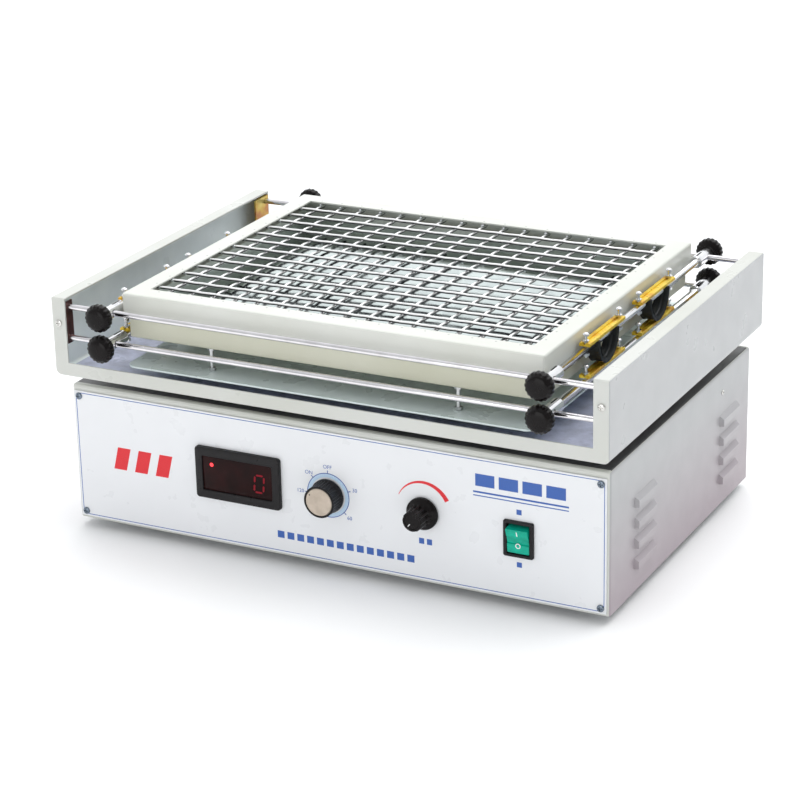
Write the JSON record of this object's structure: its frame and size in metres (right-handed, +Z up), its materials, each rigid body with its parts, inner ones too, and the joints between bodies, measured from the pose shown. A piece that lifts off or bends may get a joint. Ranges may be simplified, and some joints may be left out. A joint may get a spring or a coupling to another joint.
{
  "type": "orbital shaker",
  "caption": "Benchtop orbital shaker: cabinet with timer, speed dial, rocker switch and display, crank-driven tray, wire-mesh platform and sliding clamp bars with rubber vessel loops.",
  "frame": {"origin": "on the bench under the middle of the case", "axes": "+Z up, the control panel faces -Y, +X to the right as seen from the panel"},
  "size_m": [0.5, 0.375, 0.2165],
  "materials": {
    "white_enamel": "satin off-white baked enamel",
    "panel_print": "satin printed panel",
    "chrome": "polished",
    "zinc": "bright zinc plate",
    "galvanised": "galvanised, faint spangle",
    "yellow_zinc": "yellow passivated zinc",
    "steel": "machined",
    "cast_iron": "painted casting",
    "black_plastic": "moulded",
    "red_window": "smoked red filter",
    "green_lens": "translucent green",
    "rubber": "matt",
    "circuit_board": "solder mask"
  },
  "bodies": {
    "case": {"cabinet_shell": "white_enamel", "bottom_plate": "zinc", "rubber_foot_front_left": "rubber", "rubber_foot_front_right": "rubber", "rubber_foot_rear_left": "rubber", "rubber_foot_rear_right": "rubber", "control_panel": "panel_print", "display_bezel": "black_plastic", "display_window": "red_window", "timer_body": "zinc", "speed_potentiometer": "zinc", "switch_housing": "black_plastic", "power_inlet": "black_plastic", "bearing_frame": "cast_iron", "motor": "steel", "motor_bracket": "zinc", "control_board": "circuit_board", "drive_belt": "rubber"},
    "main_crank": {"crank_shaft": "steel", "driven_pulley": "cast_iron"},
    "motor_rotor": {"motor_pulley": "steel"},
    "idler_left": {"idler_crank_left": "steel"},
    "idler_right": {"idler_crank_right": "steel"},
    "tray": {"tray": "white_enamel", "bearing_carrier": "cast_iron", "shaker_plate": "galvanised", "rod_bracket_front_left": "yellow_zinc", "rod_bracket_front_right": "yellow_zinc", "rod_bracket_rear_left": "yellow_zinc", "rod_bracket_rear_right": "yellow_zinc", "cross_rod_front_upper": "chrome", "cross_rod_front_lower": "chrome", "cross_rod_rear_upper": "chrome", "cross_rod_rear_lower": "chrome", "platform_frame": "white_enamel", "platform_pan": "white_enamel", "wire_mesh": "zinc"},
    "timer_knob": {"timer_knob": "black_plastic"},
    "speed_knob": {"speed_knob": "black_plastic"},
    "rocker": {"rocker": "green_lens"},
    "clamp_left": {"clamp_bar_left_upper": "chrome", "clamp_bar_left_lower": "chrome", "vessel_holder_left_front": "yellow_zinc", "vessel_holder_left_rear": "yellow_zinc", "rubber_loop_left_front": "rubber", "rubber_loop_left_rear": "rubber"},
    "clamp_knob_left_front_upper": {"clamp_knob_left_front_upper": "black_plastic"},
    "clamp_knob_left_front_lower": {"clamp_knob_left_front_lower": "black_plastic"},
    "clamp_knob_left_rear_upper": {"clamp_knob_left_rear_upper": "black_plastic"},
    "clamp_knob_left_rear_lower": {"clamp_knob_left_rear_lower": "black_plastic"},
    "clamp_right": {"clamp_bar_right_upper": "chrome", "clamp_bar_right_lower": "chrome", "vessel_holder_right_front": "yellow_zinc", "vessel_holder_right_rear": "yellow_zinc", "rubber_loop_right_front": "rubber", "rubber_loop_right_rear": "rubber"},
    "clamp_knob_right_front_upper": {"clamp_knob_right_front_upper": "black_plastic"},
    "clamp_knob_right_front_lower": {"clamp_knob_right_front_lower": "black_plastic"},
    "clamp_knob_right_rear_upper": {"clamp_knob_right_rear_upper": "black_plastic"},
    "clamp_knob_right_rear_lower": {"clamp_knob_right_rear_lower": "black_plastic"}
  },
  "joints": [
    {"name": "main_crank_turn", "type": "hinge", "parent": "case", "child": "main_crank", "pos_m": [0, 0.07, 0.1315], "axis": [0, 0, 1], "continuous": true},
    {"name": "tray_pin", "type": "hinge", "parent": "main_crank", "child": "tray", "pos_m": [0, 0.06, 0.1418], "axis": [0, 0, 1], "continuous": true},
    {"name": "motor_turn", "type": "hinge", "parent": "case", "child": "motor_rotor", "pos_m": [-0.132, 0.07, 0.088], "axis": [0, 0, 1], "continuous": true},
    {"name": "idler_left_turn", "type": "hinge", "parent": "case", "child": "idler_left", "pos_m": [-0.15, -0.095, 0.1315], "axis": [0, 0, 1], "continuous": true},
    {"name": "idler_right_turn", "type": "hinge", "parent": "case", "child": "idler_right", "pos_m": [0.15, -0.095, 0.1315], "axis": [0, 0, 1], "continuous": true},
    {"name": "timer_turn", "type": "hinge", "parent": "case", "child": "timer_knob", "pos_m": [-0.0012, -0.1573, 0.0691], "axis": [0, 1, 0], "range_deg": [0, 300]},
    {"name": "speed_turn", "type": "hinge", "parent": "case", "child": "speed_knob", "pos_m": [0.0848, -0.1573, 0.0688], "axis": [0, 1, 0], "range_deg": [0, 280]},
    {"name": "rocker_tilt", "type": "hinge", "parent": "case", "child": "rocker", "pos_m": [0.1685, -0.1553, 0.0611], "axis": [1, 0, 0], "range_deg": [-22, 0]},
    {"name": "clamp_left_slide", "type": "slide", "parent": "tray", "child": "clamp_left", "axis": [-1, 0, 0], "range_m": [0, 0.03]},
    {"name": "clamp_knob_left_front_upper_turn", "type": "hinge", "parent": "clamp_left", "child": "clamp_knob_left_front_upper", "pos_m": [-0.197, -0.1743, 0.2015], "axis": [0, -1, 0], "range_deg": [0, 360]},
    {"name": "clamp_knob_left_front_lower_turn", "type": "hinge", "parent": "clamp_left", "child": "clamp_knob_left_front_lower", "pos_m": [-0.197, -0.1743, 0.1746], "axis": [0, -1, 0], "range_deg": [0, 360]},
    {"name": "clamp_knob_left_rear_upper_turn", "type": "hinge", "parent": "clamp_left", "child": "clamp_knob_left_rear_upper", "pos_m": [-0.197, 0.1743, 0.2015], "axis": [0, 1, 0], "range_deg": [0, 360]},
    {"name": "clamp_knob_left_rear_lower_turn", "type": "hinge", "parent": "clamp_left", "child": "clamp_knob_left_rear_lower", "pos_m": [-0.197, 0.1743, 0.1746], "axis": [0, 1, 0], "range_deg": [0, 360]},
    {"name": "clamp_right_slide", "type": "slide", "parent": "tray", "child": "clamp_right", "axis": [1, 0, 0], "range_m": [0, 0.03]},
    {"name": "clamp_knob_right_front_upper_turn", "type": "hinge", "parent": "clamp_right", "child": "clamp_knob_right_front_upper", "pos_m": [0.197, -0.1743, 0.2015], "axis": [0, -1, 0], "range_deg": [0, 360]},
    {"name": "clamp_knob_right_front_lower_turn", "type": "hinge", "parent": "clamp_right", "child": "clamp_knob_right_front_lower", "pos_m": [0.197, -0.1743, 0.1746], "axis": [0, -1, 0], "range_deg": [0, 360]},
    {"name": "clamp_knob_right_rear_upper_turn", "type": "hinge", "parent": "clamp_right", "child": "clamp_knob_right_rear_upper", "pos_m": [0.197, 0.1743, 0.2015], "axis": [0, 1, 0], "range_deg": [0, 360]},
    {"name": "clamp_knob_right_rear_lower_turn", "type": "hinge", "parent": "clamp_right", "child": "clamp_knob_right_rear_lower", "pos_m": [0.197, 0.1743, 0.1746], "axis": [0, 1, 0], "range_deg": [0, 360]}
  ],
  "couplings": [
    {"joint": "tray_pin", "follows": "main_crank_turn", "ratio": -1},
    {"joint": "motor_turn", "follows": "main_crank_turn", "ratio": 4},
    {"joint": "idler_left_turn", "follows": "main_crank_turn", "ratio": 1},
    {"joint": "idler_right_turn", "follows": "main_crank_turn", "ratio": 1}
  ]
}
